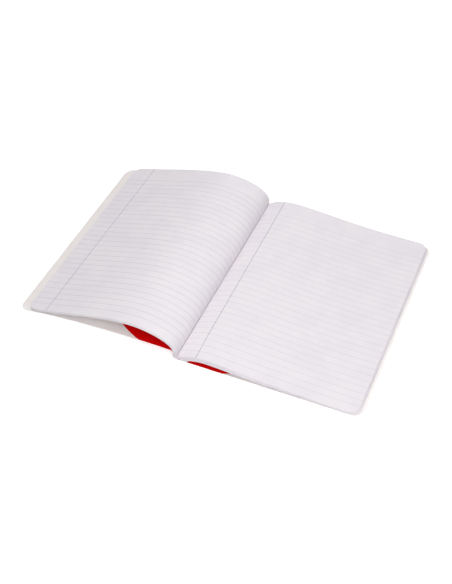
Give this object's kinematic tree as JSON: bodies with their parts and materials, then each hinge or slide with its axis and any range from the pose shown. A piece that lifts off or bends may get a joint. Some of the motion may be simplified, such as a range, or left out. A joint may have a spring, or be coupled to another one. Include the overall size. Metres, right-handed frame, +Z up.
{
  "type": "open composition notebook",
  "caption": "Open composition notebook lying on a table: sewn ruled leaves raised in an arch on the left and nearly flat on the right, over a card cover.",
  "frame": {"origin": "on the table, under the middle of the open book's outline", "axes": "+X across the fold towards the flat right half, +Y along the fold towards the tops of the pages, +Z up"},
  "size_m": [0.3754, 0.2476, 0.0336],
  "materials": {
    "paper": "smooth white writing paper with faint ruling",
    "thread": "white cotton thread",
    "card": "thin white cover card with a red field printed on it"
  },
  "bodies": {
    "book": {"page_block": "paper", "binding_thread": "thread", "cover_spine": "card"},
    "front_cover": {"front_cover": "card"},
    "back_cover": {"back_cover": "card"}
  },
  "joints": [
    {"name": "front_crease", "type": "hinge", "parent": "book", "child": "front_cover", "pos_m": [-0.00738, 0, 0.0082], "axis": [0, -1, 0], "range_deg": [0, 85]},
    {"name": "back_crease", "type": "hinge", "parent": "book", "child": "back_cover", "pos_m": [-0.00025, 0, 0.00022], "axis": [0, 1, 0], "range_deg": [0, 88]}
  ]
}
